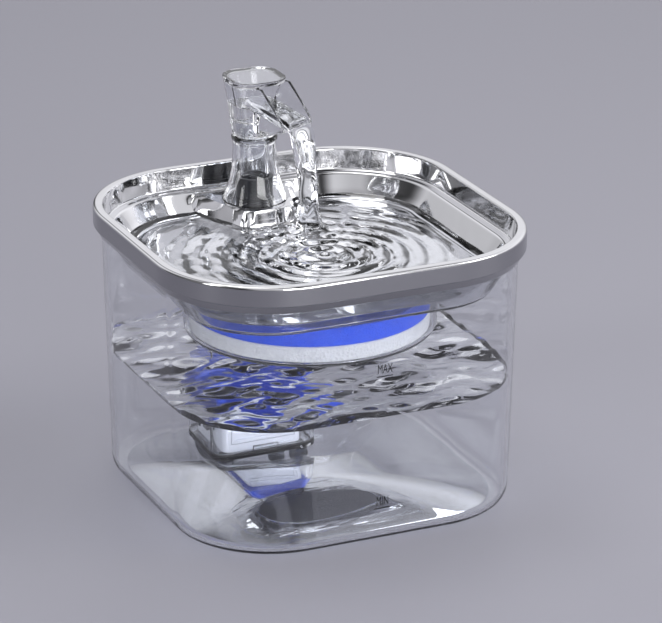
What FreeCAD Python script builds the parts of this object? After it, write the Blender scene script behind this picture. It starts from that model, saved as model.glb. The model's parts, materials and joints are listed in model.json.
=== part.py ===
import FreeCAD, Part
import math
import os

# A water fountain for cats and dogs. A clear square tank carries a nested filter basin, and a pressed
# stainless tray lies over both. A pump in a clear box lifts water through a riser to a clear faucet,
# which pours it into the tray, and it drains back through the filter.
# Millimetres. Z = 0 is the surface the feet stand on, minus Y is the front, the faucet is at the back.

# Tank: moulded clear plastic
FOOT_HEIGHT = 2.0
FOOT_RADIUS = 7.0
FOOT_RIB = 1.4
FOOT_SIDES = 24
FOOT_INSET = 36.0
TANK_HEIGHT = 126.7
TANK_TOP_HALF = 90.6
TANK_DRAFT = 3.2
TANK_CORNER_AXIS = 37.4
TANK_WALL = 2.2
TANK_FLOOR = 2.4
TANK_EDGE_ROUND = 8.0
GROMMET_WIDTH = 8.0
GROMMET_DEPTH = 6.0
GROMMET_BORE = 2.2
GROMMET_X = -26.0

# Tray: pressed stainless sheet with a folded rim and skirt
STEEL = 0.8
SKIRT_OUTSIDE = 4.4
TRAY_CORNER_AXIS = 36.0
SKIRT_HEIGHT = 14.3
SKIRT_TIER = 9.6
SKIRT_STEP = 0.5
HEM_INSET = 3.0
RIM_ROUND = 1.5
RIM_BAND = 3.5
RIM_RISE = 11.5
RIM_DRAFT = 1.0
LEDGE = 4.0
SLOPE_RUN = 9.0
BOWL_DEPTH = 13.5
DISH_DEPTH = 2.0
DISH_RADIUS = 66.0
DISH_FLAT = 14.0
DISH_SIDES = 40
DRAIN_HOLE = 2.4
DRAIN_PITCH = 9.0
DRAIN_RINGS = 1
PLATEAU_DROP = 1.5
PLATEAU_FRONT = 20.0
PLATEAU_FRONT_HALF = 13.5
PLATEAU_SPREAD = 17.0
PLATEAU_DRAFT = 2.5
PLATEAU_CORNER = 6.0
PLATEAU_CHORDS = 5
PLATEAU_LENGTH = 44.0

# Filter basin: clear, nested between the tank and the tray
FLANGE = 2.0
FLANGE_INSET = 0.3
BASIN_WALL = 1.6
BASIN_GAP = 0.6
FILTER_BOWL_RADIUS = 63.5
FILTER_BOWL_DEPTH = 27.0
FILTER_RADIUS = 60.0
COTTON_HEIGHT = 8.2
FOAM_HEIGHT = 9.5
BASIN_DRAIN = 4.6
BASIN_DRAINS = 10
BASIN_DRAIN_START = 24.0
BASIN_DRAIN_END = 48.0
BOWL_CHAMFER = 3.0
RISER_ABOVE_BOX = 6.0

# Riser and faucet: clear tubes on one upright axis
FAUCET_INSET = 24.6
OUTLET_BORE = 2.8
OUTLET_WALL = 1.1
OUTLET_OVERLAP = 12.0
RISER_BORE = 4.2
RISER_WALL = 1.3
STEM_BORE = 5.8
STEM_WALL = 1.7
STEM_DROP = 11.5
STEM_LAP = 8.8
SLIP_FIT = 0.06
LOOSE_FIT = 0.4
COLUMN_FOOT_RADIUS = 16.5
COLUMN_FLARE = 2.4
COLUMN_SIDES = 32
COLUMN_SHARES = (0.0, 0.18, 0.42, 0.7, 1.0)
COLUMN_TOP_RADIUS = 11.0
COLUMN_HEIGHT = 31.5
COLUMN_WALL = 1.6
COLUMN_RIB = 1.2
COLUMN_RIBS = 4
SLEEVE_HEIGHT = 11.0
SLEEVE_WALL = 2.0
COLLAR_HEIGHT = 2.5
COLLAR_PROUD = 0.7
COLLAR_SIDES = 40
GROMMET_LIP = 1.2
GROMMET_WALL = 1.0

# Faucet head: a clear hood over an open chute
HEAD_HEIGHT = 30.6
HEAD_TOP_HALF = 14.7
HEAD_CORNER_AXIS = 4.5
HEAD_ROOF = 2.4
HEAD_WALL = 1.8
HEAD_SOCKET = 8.0
CHUTE_TURN = 24.0
CHUTE_REACH = 29.5
CHUTE_HALF = 11.0
CHUTE_FLOOR = 1.8
CHUTE_LIP_HEIGHT = 10.0
CHUTE_BACK_HEIGHT = 16.5
CHUTE_SIDE = 3.0
CHUTE_CHEEK = 9.0
CHUTE_NOSE = 6.0
CHUTE_EDGE = 1.0
HEAD_FLARE = 1.8
HEAD_CHORDS = 6
HEAD_SHARES = (0.22, 0.45, 0.68, 1.0)

# Pump: a small submersible pump in a clear box that snaps on a base
CUP_HEIGHT = 2.0
CUP_RADIUS = 5.5
CUP_NECK = 3.0
CUP_SIDES = 24
BOX_X = -11.0
BOX_HALF_X = 29.0
BOX_HALF_Y = 24.0
BOX_BACK = 8.0
BOX_CORNER = 8.0
BOX_WALL = 1.6
BOX_BELOW_FILTER = 16.0
BASE_PLATE = 2.0
BASE_LIP = 3.0
BASE_TAB = 7.0
SEAL_HEIGHT = 1.2
PUMP_SIDE_GAP = 7.0
PUMP_BACK_GAP = 4.0
PUMP_FRONT_GAP = 6.0
PUMP_HEIGHT = 20.0
PUMP_CORNER = 4.0
PANEL_MARGIN = 4.0
PANEL_HEIGHT = 12.0
PANEL_RECESS = 1.2
PANEL_FRAME = 2.0
FIT_GAP = 0.3
SPONGE_SHARE = 0.5
VENT_LENGTH = 7.0
VENT_WIDTH = 2.2
VENT_HEIGHT = 12.0
CLIP_WIDTH = 9.0
CLIP_HEIGHT = 16.0
CLIP_PROUD = 1.4
CHAMBER_RADIUS = 8.2
CHAMBER_DEPTH = 7.8
COVER_PLATE = 1.2
COVER_RADIUS = 9.2
COVER_SLOTS = 6
COVER_SLOT_START = 2.0
COVER_SLOT_END = 6.4
COVER_SLOT_WIDTH = 1.4
IMPELLER_GAP = 0.7
IMPELLER_BLADES = 6
BLADE = 1.1
HUB_RADIUS = 2.6
MAGNET_RADIUS = 5.0
MAGNET_LENGTH = 20.0
MAGNET_GAP = 0.5
SHAFT_RADIUS = 1.0
SHAFT_SEAT = 2.0
REGULATOR_SLOT = 16.0
REGULATOR_HEIGHT = 3.0
REGULATOR_DEPTH = 1.6
REGULATOR_LENGTH = 4.0
REGULATOR_KNOB = 6.0
REGULATOR_PROUD = 2.2
GLAND_RADIUS = 2.6
GLAND_LENGTH = 3.6

# Heights and places that follow from the sizes above
tank_base_half = TANK_TOP_HALF - TANK_DRAFT
faucet_y = TANK_TOP_HALF - FAUCET_INSET
pump_half_x = BOX_HALF_X - PUMP_SIDE_GAP
panel_half = pump_half_x - PANEL_MARGIN
tank_base = FOOT_HEIGHT
tank_floor = tank_base + TANK_FLOOR
tank_rim = tank_base + TANK_HEIGHT
flange_top = tank_rim + FLANGE
ledge_top = flange_top + STEEL
rim_top = ledge_top + RIM_RISE
skirt_bottom = rim_top - SKIRT_HEIGHT
bowl_floor = ledge_top - BOWL_DEPTH
plateau_top = ledge_top - PLATEAU_DROP
shelf_top = bowl_floor - DISH_DEPTH - STEEL - BASIN_GAP
filter_base = shelf_top - BASIN_WALL - FILTER_BOWL_DEPTH
filter_floor = filter_base + BASIN_WALL
tray_half = TANK_TOP_HALF + SKIRT_OUTSIDE
tank_top_corner = TANK_TOP_HALF - TANK_CORNER_AXIS
riser_radius = RISER_BORE + RISER_WALL
riser_niche = riser_radius + 2.0
stem_radius = STEM_BORE + STEM_WALL
stem_base = plateau_top - STEM_DROP
column_top = plateau_top + COLUMN_HEIGHT
collar_top = column_top + COLLAR_HEIGHT
base_bottom = tank_floor + CUP_HEIGHT
base_top = base_bottom + BASE_PLATE
box_bottom = base_top + SEAL_HEIGHT
box_top = filter_base - BOX_BELOW_FILTER
pump_top = base_top + PUMP_HEIGHT
box_y = faucet_y + BOX_BACK - BOX_HALF_Y
pump_back_y = box_y + BOX_HALF_Y - PUMP_BACK_GAP
pump_front_y = box_y - BOX_HALF_Y + PUMP_FRONT_GAP
pump_middle_z = base_top + PUMP_HEIGHT / 2
outlet_radius = OUTLET_BORE + OUTLET_WALL
riser_base = box_top + RISER_ABOVE_BOX
impeller_x = OUTLET_BORE - CHAMBER_RADIUS
chamber_back = pump_back_y - COVER_PLATE
chamber_front = chamber_back - CHAMBER_DEPTH
UP = FreeCAD.Vector(0, 0, 1)
SAME_POINT = 1e-7


def point(x, y, z):
    return FreeCAD.Vector(x, y, z)


def rounded_outline(half_x, half_y, corner, height, middle_x=0.0, middle_y=0.0):
    """Closed wire of four straight sides joined by four quarter arcs."""
    edges = []
    corners = ((1, 1), (-1, 1), (-1, -1), (1, -1))
    ends = []
    for turn, (side_x, side_y) in enumerate(corners):
        centre_x = middle_x + side_x * (half_x - corner)
        centre_y = middle_y + side_y * (half_y - corner)
        arc = []
        for step in (0, 1, 2):
            angle = math.radians(90 * turn + 45 * step)
            arc.append(point(centre_x + corner * math.cos(angle), centre_y + corner * math.sin(angle), height))
        ends.append(arc)
    for turn in range(4):
        arc = ends[turn]
        edges.append(Part.Arc(arc[0], arc[1], arc[2]).toShape())
        edges.append(Part.LineSegment(arc[2], ends[(turn + 1) % 4][0]).toShape())
    return Part.Wire(edges)


def chord_outline(half, corner, height, chords):
    """Points of a rounded square whose four corners are each turned in equal chords."""
    corners = []
    for turn, (side_x, side_y) in enumerate(((1, 1), (-1, 1), (-1, -1), (1, -1))):
        for step in range(chords + 1):
            angle = math.radians(90 * (turn + step / chords))
            corners.append(point(side_x * (half - corner) + corner * math.cos(angle),
                                 side_y * (half - corner) + corner * math.sin(angle), height))
    return corners


def flat_face(corners):
    return Part.Face(Part.makePolygon(corners + corners[:1]))


def skin(rings):
    """Solid with flat faces through level rings of as many points, from the bottom up."""
    faces = [flat_face(rings[0]), flat_face(rings[-1])]
    for low, high in zip(rings, rings[1:]):
        for number in range(len(low)):
            after = (number + 1) % len(low)
            if (high[after] - high[number]).cross(low[after] - low[number]).Length < SAME_POINT:
                faces.append(flat_face([low[number], low[after], high[after], high[number]]))
            else:
                faces.append(flat_face([low[number], low[after], high[after]]))
                faces.append(flat_face([low[number], high[after], high[number]]))
    shell = Part.makeShell(faces)
    shell.sewShape()
    return Part.makeSolid(shell)


def square_loft(levels, chords=10):
    """Drafted solid through rounded squares, each given as half width, corner radius and height."""
    return skin([chord_outline(half, corner, height, chords) for half, corner, height in levels])


def flared(profile, sides):
    """Upright solid through regular polygons, given as (radius, height) from the bottom up."""
    rings = []
    for radius, height in profile:
        angles = [2 * math.pi * number / sides for number in range(sides)]
        rings.append([point(radius * math.cos(angle), radius * math.sin(angle), height) for angle in angles])
    return skin(rings)


def block(half_x, half_y, corner, bottom, top, middle_x=0.0, middle_y=0.0):
    """Upright prism with rounded corners."""
    face = Part.Face(rounded_outline(half_x, half_y, corner, bottom, middle_x, middle_y))
    return face.extrude(UP * (top - bottom))


def rod(radius, bottom, top, x=0.0, y=0.0):
    return Part.makeCylinder(radius, top - bottom, point(x, y, bottom))


def tube(outer, inner, bottom, top, x=0.0, y=0.0):
    return rod(outer, bottom, top, x, y).cut(rod(inner, bottom, top, x, y))


def rod_along_y(radius, front, back, x, z):
    return Part.makeCylinder(radius, back - front, point(x, front, z), point(0, 1, 0))


def slab(low_x, high_x, low_y, high_y, low_z, high_z):
    return Part.makeBox(high_x - low_x, high_y - low_y, high_z - low_z, point(low_x, low_y, low_z))


def joined(shapes):
    whole = shapes[0]
    for shape in shapes[1:]:
        whole = whole.fuse(shape)
    return whole.removeSplitter()


def save(name, shape):
    """One STEP file for each piece; a group of like pieces is one compound."""
    if not shape.isValid():
        print("not valid:", name)
    shape.exportStep("parts/" + name + ".step")
    print(name, len(shape.Solids), round(shape.Volume, 1))


def tank_level(height, inset):
    """Half width, corner radius and height of the drafted tank, moved inwards by inset."""
    share = (height - tank_base) / TANK_HEIGHT
    half = tank_base_half + share * TANK_DRAFT - inset
    return half, half - TANK_CORNER_AXIS, height


def tank_skin(bottom, top, inset, edge_round):
    """Drafted block whose lower edge is rounded by a quarter circle in four steps."""
    levels = []
    for step in range(5):
        angle = math.radians(90 * step / 4)
        rise = edge_round * (1 - math.cos(angle))
        levels.append(tank_level(bottom + rise, inset + edge_round * (1 - math.sin(angle))))
    levels.append(tank_level(top, inset))
    return square_loft(levels)


def tank():
    """Drafted clear tub with a thick floor and a notch in the rear rim for the lead."""
    shell = tank_skin(tank_base, tank_rim, 0.0, TANK_EDGE_ROUND)
    shell = shell.cut(tank_skin(tank_floor, tank_rim, TANK_WALL, TANK_EDGE_ROUND - TANK_WALL))
    notch = slab(GROMMET_X - GROMMET_WIDTH / 2, GROMMET_X + GROMMET_WIDTH / 2,
                 TANK_TOP_HALF - 3 * TANK_WALL, TANK_TOP_HALF + TANK_WALL, tank_rim - GROMMET_DEPTH, tank_rim)
    return shell.cut(notch)


def cord_grommet():
    """Rubber bush that fills the rim notch, bored for the lead and slit open at the top."""
    front = TANK_TOP_HALF - TANK_WALL
    bush = slab(GROMMET_X - GROMMET_WIDTH / 2, GROMMET_X + GROMMET_WIDTH / 2,
                front, TANK_TOP_HALF - FIT_GAP, tank_rim - GROMMET_DEPTH, tank_rim)
    middle = tank_rim - GROMMET_DEPTH / 2
    bush = bush.cut(rod_along_y(GROMMET_BORE, front, TANK_TOP_HALF, GROMMET_X, middle))
    return bush.cut(slab(GROMMET_X - FIT_GAP, GROMMET_X + FIT_GAP, front, TANK_TOP_HALF, middle, tank_rim))


def tank_feet():
    """Four round feet, each a ring with a cross of ribs."""
    feet = []
    place = tank_base_half - FOOT_INSET
    for side_x in (-1, 1):
        for side_y in (-1, 1):
            x = side_x * place
            y = side_y * place
            ring = flared([(FOOT_RADIUS, 0.0), (FOOT_RADIUS, FOOT_HEIGHT)], FOOT_SIDES)
            bore = FOOT_RADIUS - FOOT_RIB
            ring = ring.cut(flared([(bore, 0.0), (bore, FOOT_HEIGHT)], FOOT_SIDES)).translated(point(x, y, 0))
            reach = FOOT_RADIUS - FOOT_RIB / 2
            half_rib = FOOT_RIB / 2
            across = slab(x - reach, x + reach, y - half_rib, y + half_rib, 0.0, FOOT_HEIGHT)
            along = slab(x - half_rib, x + half_rib, y - reach, y + reach, 0.0, FOOT_HEIGHT)
            feet.append(joined([ring, across, along]))
    return Part.makeCompound(feet)


def tray_level(inset, height):
    return tray_half - inset, tray_half - inset - TRAY_CORNER_AXIS, height


def skirt_block(inset, top):
    """Outside of the rolled rim: a rounded upright band over a hem that curls in below the crease."""
    crease = rim_top - SKIRT_TIER
    hem = square_loft([tray_level(HEM_INSET + inset, skirt_bottom), tray_level(SKIRT_STEP + inset, crease)])
    levels = [tray_level(inset, crease)]
    for step in range(3):
        angle = math.radians(90 * step / 2)
        levels.append(tray_level(inset + RIM_ROUND * (1 - math.cos(angle)),
                                 top - RIM_ROUND * (1 - math.sin(angle))))
    return hem.fuse(square_loft(levels))


def plateau_outline(grow, height, back):
    """Straight front, two corner arcs and two sides that spread to the back, all moved outwards by grow."""
    spread = math.atan2(PLATEAU_SPREAD, PLATEAU_LENGTH)
    radius = PLATEAU_CORNER + grow
    centre_x = PLATEAU_FRONT_HALF - PLATEAU_CORNER
    centre_y = faucet_y - PLATEAU_FRONT + PLATEAU_CORNER
    arc = []
    for step in range(PLATEAU_CHORDS + 1):
        angle = -math.pi / 2 + (math.pi / 2 - spread) * step / PLATEAU_CHORDS
        arc.append((centre_x + radius * math.cos(angle), centre_y + radius * math.sin(angle)))
    side_x, side_y = arc[-1]
    arc.append((side_x + (back - side_y) * math.tan(spread), back))
    return [point(x, y, height) for x, y in arc] + [point(-x, y, height) for x, y in reversed(arc)]


def plateau(inset, top, back):
    """Drafted island under the faucet."""
    bottom = bowl_floor - DISH_DEPTH - 3 * STEEL
    grow = PLATEAU_DRAFT * (top - bottom) / BOWL_DEPTH
    return skin([plateau_outline(grow - inset, bottom, back), plateau_outline(-inset, top, back)])


def drain_places():
    places = [(0.0, 0.0)]
    for ring in range(1, DRAIN_RINGS + 1):
        count = 6 * ring
        for number in range(count):
            angle = 2 * math.pi * number / count
            places.append((ring * DRAIN_PITCH * math.cos(angle), ring * DRAIN_PITCH * math.sin(angle)))
    return places


def steel_tray():
    """Sheet of even thickness: the space above its bowl is cut from the block below it."""
    slope_angle = math.atan2(BOWL_DEPTH, SLOPE_RUN)
    bend = STEEL * math.tan(slope_angle / 2)
    wall_top = RIM_ROUND + RIM_BAND
    wall_foot = wall_top + RIM_DRAFT
    slope_top = wall_foot + LEDGE
    slope_foot = slope_top + SLOPE_RUN
    ledge_under = ledge_top - STEEL
    floor_under = bowl_floor - STEEL
    shell = skirt_block(0.0, rim_top).cut(skirt_block(STEEL, rim_top - STEEL))
    under = square_loft([tray_level(slope_foot - bend, floor_under), tray_level(slope_top - bend, ledge_under)])
    under = under.fuse(square_loft([tray_level(wall_foot - STEEL, ledge_under),
                                    tray_level(wall_top - STEEL, rim_top)]))
    dish = flared([(DISH_FLAT, bowl_floor - DISH_DEPTH), (DISH_RADIUS, bowl_floor)], DISH_SIDES)
    dish_under = dish.translated(point(0, 0, -STEEL))
    under = under.fuse(dish_under)
    above = square_loft([tray_level(slope_foot, bowl_floor), tray_level(slope_top, ledge_top)])
    above = above.fuse(square_loft([tray_level(wall_foot, ledge_top), tray_level(wall_top, rim_top)]))
    above = above.fuse(dish)
    above = above.cut(plateau(0.0, plateau_top, tray_half - slope_top + STEEL))
    under = under.cut(plateau(STEEL, plateau_top - STEEL, tray_half - wall_top))
    tray = shell.fuse(under).cut(above)
    for x, y in drain_places():
        tray = tray.cut(rod(DRAIN_HOLE, bowl_floor - 3 * DISH_DEPTH, bowl_floor, x, y))
    tray = tray.cut(rod(stem_radius + GROMMET_WALL, plateau_top - 2 * STEEL, plateau_top, 0.0, faucet_y))
    return tray.removeSplitter()


def tray_grommet():
    """Silicone ring gripping the edge of the tray's faucet hole above and below the sheet."""
    low = plateau_top - STEEL
    waist = stem_radius + GROMMET_WALL
    lip = waist + GROMMET_LIP
    ring = rod(waist, low, plateau_top)
    for bottom in (low - GROMMET_LIP, plateau_top):
        ring = ring.fuse(flared([(lip, bottom), (lip, bottom + GROMMET_LIP)], COLLAR_SIDES))
    ring = ring.cut(rod(stem_radius + SLIP_FIT, low - GROMMET_LIP, plateau_top + GROMMET_LIP))
    return ring.removeSplitter().translated(point(0, faucet_y, 0))


def filter_box():
    """Clear basin: flange on the tank rim, sloped wall, flat shelf and a round filter bowl with a niche."""
    slope_angle = math.atan2(BOWL_DEPTH, SLOPE_RUN)
    wall_top = TANK_TOP_HALF - TANK_WALL - LOOSE_FIT
    wall_corner = tank_top_corner - TANK_WALL - LOOSE_FIT
    shelf_bottom = shelf_top - BASIN_WALL
    run = (flange_top - shelf_bottom) / math.tan(slope_angle)
    inner_run = (flange_top - shelf_top) / math.tan(slope_angle)
    outside = square_loft([(wall_top - run, wall_corner - run, shelf_bottom), (wall_top, wall_corner, flange_top)])
    thick = BASIN_WALL
    inside = square_loft([(wall_top - thick - inner_run, wall_corner - thick - inner_run, shelf_top),
                          (wall_top - thick, wall_corner - thick, flange_top)])
    edge = (TANK_TOP_HALF - FLANGE_INSET, tank_top_corner - FLANGE_INSET)
    rim = square_loft([(*edge, tank_rim), (*edge, flange_top)])
    bowl = rod(FILTER_BOWL_RADIUS, filter_base, shelf_top)
    circles = [edge for edge in bowl.Edges if edge.Length > FILTER_BOWL_RADIUS * math.pi
               and edge.CenterOfMass.z < shelf_bottom - thick]
    bowl = bowl.makeChamfer(BOWL_CHAMFER, circles)
    niche = rod(riser_niche, filter_base - thick, shelf_top - thick, 0.0, faucet_y)
    niche_wall = rod(riser_niche + thick, filter_base - thick, shelf_top, 0.0, faucet_y)
    hollow = rod(FILTER_BOWL_RADIUS - thick, filter_floor, shelf_top).cut(niche_wall)
    boss = tube(riser_radius + thick, riser_radius, shelf_top - thick, shelf_top + thick, 0.0, faucet_y)
    box = outside.fuse(rim).fuse(bowl).cut(inside).cut(hollow).cut(niche)
    box = box.cut(rod(riser_radius, filter_base, flange_top, 0.0, faucet_y)).fuse(boss)
    for number in range(BASIN_DRAINS):
        slot = slab(BASIN_DRAIN_START, BASIN_DRAIN_END, -BASIN_DRAIN / 2, BASIN_DRAIN / 2,
                    filter_base, filter_floor)
        slot.rotate(point(0, 0, 0), UP, 360 * (number + 0.5) / BASIN_DRAINS)
        box = box.cut(slot)
    lead = slab(GROMMET_X - GROMMET_WIDTH / 2, GROMMET_X + GROMMET_WIDTH / 2,
                wall_top + thick / 2, TANK_TOP_HALF, tank_rim, tank_rim + FLANGE / 2)
    return box.cut(lead).removeSplitter()


def filter_pad(bottom, height):
    """Round pad with a bite for the riser niche."""
    pad = rod(FILTER_RADIUS, bottom, bottom + height)
    return pad.cut(rod(riser_niche + 2 * BASIN_WALL, bottom, bottom + height, 0.0, faucet_y))


def riser_tube():
    """Clear tube held in the basin's boss, from the outlet pipe up to the faucet's stem."""
    return tube(riser_radius, RISER_BORE, riser_base, stem_base + STEM_LAP, 0.0, faucet_y)


def faucet_stem():
    return tube(stem_radius, STEM_BORE, stem_base, collar_top + HEAD_SOCKET, 0.0, faucet_y)


def faucet_column():
    """Flared clear shell with a closed top and ribs that reach in to the stem."""
    profile = []
    for share in COLUMN_SHARES:
        radius = COLUMN_TOP_RADIUS + (COLUMN_FOOT_RADIUS - COLUMN_TOP_RADIUS) * (1 - share) ** COLUMN_FLARE
        profile.append((radius, plateau_top + COLUMN_HEIGHT * share))
    inside = [(radius - COLUMN_WALL, height) for radius, height in profile]
    inside[-1] = (inside[-1][0], column_top - COLUMN_WALL)
    shell = flared(profile, COLUMN_SIDES).cut(flared(inside, COLUMN_SIDES))
    shell = shell.cut(rod(stem_radius, plateau_top, column_top))
    rib_base = plateau_top + GROMMET_LIP + SLEEVE_HEIGHT + FIT_GAP
    reach = COLUMN_TOP_RADIUS - COLUMN_WALL / 2
    for number in range(COLUMN_RIBS):
        rib = slab(stem_radius - COLUMN_RIB / 2, reach, -COLUMN_RIB / 2, COLUMN_RIB / 2, rib_base,
                   column_top - COLUMN_WALL / 2)
        rib = rib.cut(rod(stem_radius, rib_base, column_top))
        rib.rotate(point(0, 0, 0), UP, 360 * (number + 0.5) / COLUMN_RIBS)
        shell = shell.fuse(rib)
    return shell.removeSplitter().translated(point(0, faucet_y, 0))


def stem_sleeve():
    low = plateau_top + GROMMET_LIP + FIT_GAP
    return tube(stem_radius + SLEEVE_WALL, stem_radius, low, low + SLEEVE_HEIGHT, 0.0, faucet_y)


def faucet_collar():
    """Ring round the top of the column, its outer edges chamfered."""
    proud = COLUMN_TOP_RADIUS + COLLAR_PROUD
    ring = flared([(COLUMN_TOP_RADIUS, column_top), (proud, column_top + COLLAR_PROUD),
                   (proud, collar_top - COLLAR_PROUD), (COLUMN_TOP_RADIUS, collar_top)], COLLAR_SIDES)
    return ring.cut(rod(stem_radius, column_top, collar_top)).translated(point(0, faucet_y, 0))


def across(profile, half):
    """Solid from a closed list of (forward, height) points, extruded sideways by half each way."""
    corners = [point(-half, -forward, height) for forward, height in profile]
    face = Part.Face(Part.makePolygon(corners + corners[:1]))
    return face.extrude(point(2 * half, 0, 0))


def hood(inset, bottom, top):
    """Flares from a round neck to a rounded square, moved inwards by inset and cut off level at both ends."""
    base = collar_top + FIT_GAP
    grow = HEAD_TOP_HALF - COLUMN_TOP_RADIUS
    neck = COLUMN_TOP_RADIUS - inset
    levels = [(neck, neck - FIT_GAP, base)]
    for share in HEAD_SHARES:
        half = neck + grow * share ** HEAD_FLARE
        levels.append((half, half - HEAD_CORNER_AXIS, base + HEAD_HEIGHT * share))
    reach = HEAD_TOP_HALF + HEAD_TOP_HALF
    return square_loft(levels, HEAD_CHORDS).common(slab(-reach, reach, -reach, reach, bottom, top))


def faucet_head():
    """Clear hood with a roof plate, open at the front, where a chute with low sides runs out and down."""
    base = collar_top + FIT_GAP
    top = base + HEAD_HEIGHT
    lip = base + CHUTE_LIP_HEIGHT
    back = base + CHUTE_BACK_HEIGHT
    roof_under = top - HEAD_ROOF
    neck = COLUMN_TOP_RADIUS
    nose = CHUTE_REACH - CHUTE_NOSE
    edge = CHUTE_REACH - CHUTE_EDGE
    past = CHUTE_REACH + CHUTE_EDGE
    chute = across([(0.0, base + CHUTE_FLOOR), (neck, base + CHUTE_FLOOR), (nose, lip - CHUTE_SIDE),
                    (edge, lip - CHUTE_FLOOR), (CHUTE_REACH, lip), (edge, lip + CHUTE_SIDE),
                    (nose, lip + CHUTE_CHEEK), (HEAD_TOP_HALF, roof_under), (0.0, roof_under)], CHUTE_HALF)
    channel = across([(0.0, back), (neck, back - CHUTE_FLOOR), (past, lip - FIT_GAP),
                      (past, roof_under), (0.0, roof_under)], CHUTE_HALF - HEAD_WALL)
    for piece in (chute, channel):
        piece.rotate(point(0, 0, 0), UP, CHUTE_TURN)
    head = hood(0.0, base, top).fuse(chute).cut(hood(HEAD_WALL, back, roof_under)).cut(channel)
    head = head.cut(rod(stem_radius + SLIP_FIT, base, collar_top + HEAD_SOCKET + FIT_GAP))
    head = head.cut(rod(STEM_BORE, base, back + CHUTE_FLOOR))
    return head.removeSplitter().translated(point(0, faucet_y, 0))


def pump_base():
    """Plate with four upright tabs that locate the box above it."""
    plate = block(BOX_HALF_X, BOX_HALF_Y, BOX_CORNER, base_bottom, base_top, BOX_X, box_y)
    near = BOX_WALL + FIT_GAP
    far = near + BOX_WALL
    for side in (-1, 1):
        ends = sorted((side * (BOX_HALF_X - near), side * (BOX_HALF_X - far)))
        plate = plate.fuse(slab(BOX_X + ends[0], BOX_X + ends[1], box_y - BASE_TAB, box_y + BASE_TAB,
                                base_top, base_top + BASE_LIP))
        ends = sorted((side * (BOX_HALF_Y - near), side * (BOX_HALF_Y - far)))
        plate = plate.fuse(slab(BOX_X - BASE_TAB, BOX_X + BASE_TAB, box_y + ends[0], box_y + ends[1],
                                base_top, base_top + BASE_LIP))
    return plate.removeSplitter()


def base_seal():
    ring = block(BOX_HALF_X, BOX_HALF_Y, BOX_CORNER, base_top, box_bottom, BOX_X, box_y)
    return ring.cut(block(BOX_HALF_X - BOX_WALL, BOX_HALF_Y - BOX_WALL, BOX_CORNER - BOX_WALL,
                          base_top, box_bottom, BOX_X, box_y))


def suction_cups():
    cups = []
    for side_x in (-1, 1):
        for side_y in (-1, 1):
            x = BOX_X + side_x * (BOX_HALF_X - BOX_CORNER)
            y = box_y + side_y * (BOX_HALF_Y - BOX_CORNER)
            cup = flared([(CUP_RADIUS, tank_floor), (CUP_NECK, base_bottom)], CUP_SIDES)
            cups.append(cup.translated(point(x, y, 0)))
    return Part.makeCompound(cups)


def pump_cover():
    """Clear box open below, vented by crosses at the sides and slots at the back, with a snap clip."""
    box = block(BOX_HALF_X, BOX_HALF_Y, BOX_CORNER, box_bottom, box_top, BOX_X, box_y)
    box = box.cut(block(BOX_HALF_X - BOX_WALL, BOX_HALF_Y - BOX_WALL, BOX_CORNER - BOX_WALL,
                        box_bottom, box_top - BOX_WALL, BOX_X, box_y))
    vent_z = box_bottom + VENT_HEIGHT
    half_long = VENT_LENGTH / 2
    half_thin = VENT_WIDTH / 2
    left = BOX_X - BOX_HALF_X
    right = BOX_X + BOX_HALF_X
    for edge_x in (left, right):
        box = box.cut(slab(edge_x - BOX_WALL, edge_x + BOX_WALL, box_y - half_long, box_y + half_long,
                           vent_z - half_thin, vent_z + half_thin))
        box = box.cut(slab(edge_x - BOX_WALL, edge_x + BOX_WALL, box_y - half_thin, box_y + half_thin,
                           vent_z - half_long, vent_z + half_long))
    back = box_y + BOX_HALF_Y
    for number in range(-2, 3):
        x = BOX_X + number * 2 * VENT_WIDTH
        box = box.cut(slab(x - half_thin, x + half_thin, back - BOX_WALL, back,
                           vent_z - VENT_LENGTH, vent_z + VENT_LENGTH))
    box = box.cut(rod(outlet_radius + LOOSE_FIT, box_top - BOX_WALL, box_top, 0.0, faucet_y))
    clip = slab(right - BOX_WALL / 2, right + CLIP_PROUD, box_y - CLIP_WIDTH / 2, box_y + CLIP_WIDTH / 2,
                vent_z + VENT_LENGTH, vent_z + VENT_LENGTH + CLIP_HEIGHT)
    edges = [edge for edge in clip.Edges if edge.CenterOfMass.x > right + CLIP_PROUD / 2]
    return box.fuse(clip.makeChamfer(CLIP_PROUD / 2, edges)).removeSplitter()


def pump_sponge():
    low = pump_top + FIT_GAP
    high = pump_top + (box_top - pump_top) * SPONGE_SHARE
    pad = block(BOX_HALF_X - BOX_WALL, BOX_HALF_Y - BOX_WALL, BOX_CORNER - BOX_WALL, low, high, BOX_X, box_y)
    return pad.cut(rod(outlet_radius + LOOSE_FIT, low, high, 0.0, faucet_y))


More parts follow.
